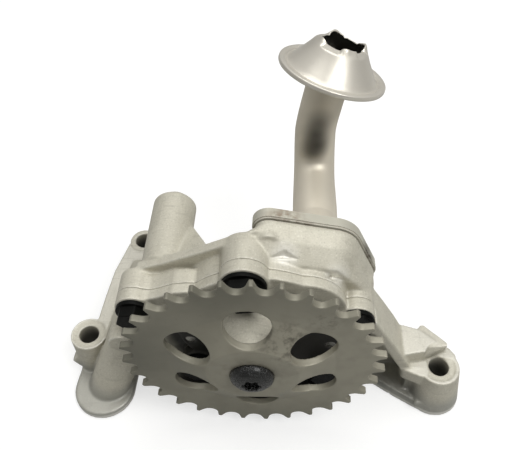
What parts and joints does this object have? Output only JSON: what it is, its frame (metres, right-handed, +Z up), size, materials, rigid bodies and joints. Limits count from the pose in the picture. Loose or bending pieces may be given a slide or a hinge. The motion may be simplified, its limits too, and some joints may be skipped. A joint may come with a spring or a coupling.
{
  "type": "engine oil pump",
  "caption": "Chain-driven rotor oil pump in a cast housing with a dished toothed sprocket, relief-valve barrel, bolt-down lugs and a bent suction tube with strainer.",
  "frame": {"origin": "on the shaft axis, in the middle plane of the chain", "axes": "+Y along the shaft from the sprocket into the pump, +Z up away from the engine block, +X to the right seen from the sprocket"},
  "size_m": [0.1719, 0.1221, 0.1328],
  "materials": {
    "cast_aluminium": "sandblasted casting",
    "black_steel": "black oxide, oily",
    "bright_steel": "ground",
    "bronze": "turned bearing bronze",
    "phosphated_steel": "grey phosphate, matte",
    "sintered_steel": "sintered, fine grain",
    "gasket_paper": "fibre gasket",
    "plated_steel": "dull zinc plate",
    "tube_steel": "satin drawn steel",
    "seal_rubber": "matte"
  },
  "bodies": {
    "pump": {"pump_housing": "cast_aluminium", "front_cover": "cast_aluminium", "cover_bolt_large": "black_steel", "cover_bolts_small": "black_steel", "cover_dowels": "bright_steel", "front_bush": "bronze", "rear_bush": "bronze", "relief_spring": "bright_steel", "spring_seat": "bright_steel", "flange_gasket": "gasket_paper", "suction_flange": "plated_steel", "flange_bolts": "black_steel", "tube_collar": "tube_steel", "suction_tube": "tube_steel", "strainer_base": "tube_steel", "strainer_bell": "tube_steel", "strainer_mesh": "bright_steel", "outlet_seal": "seal_rubber"},
    "drive": {"drive_shaft": "bright_steel", "shaft_key": "bright_steel", "drive_sprocket": "phosphated_steel", "sprocket_bolt": "black_steel", "inner_rotor": "sintered_steel"},
    "ring": {"outer_rotor": "sintered_steel"},
    "valve": {"relief_piston": "bright_steel"}
  },
  "joints": [
    {"name": "sprocket_spin", "type": "hinge", "parent": "pump", "child": "drive", "pos_m": [0, 0, 0], "axis": [0, 1, 0], "continuous": true},
    {"name": "outer_rotor_spin", "type": "hinge", "parent": "pump", "child": "ring", "pos_m": [0, 0.028, -0.002], "axis": [0, 1, 0], "continuous": true},
    {"name": "relief_valve_slide", "type": "slide", "parent": "pump", "child": "valve", "axis": [0, 1, 0], "range_m": [0, 0.008], "stiffness_N_per_m": 1500, "springref_m": -0.004, "deforming": ["relief_spring"]}
  ],
  "couplings": [
    {"joint": "outer_rotor_spin", "follows": "sprocket_spin", "ratio": 0.85714}
  ]
}
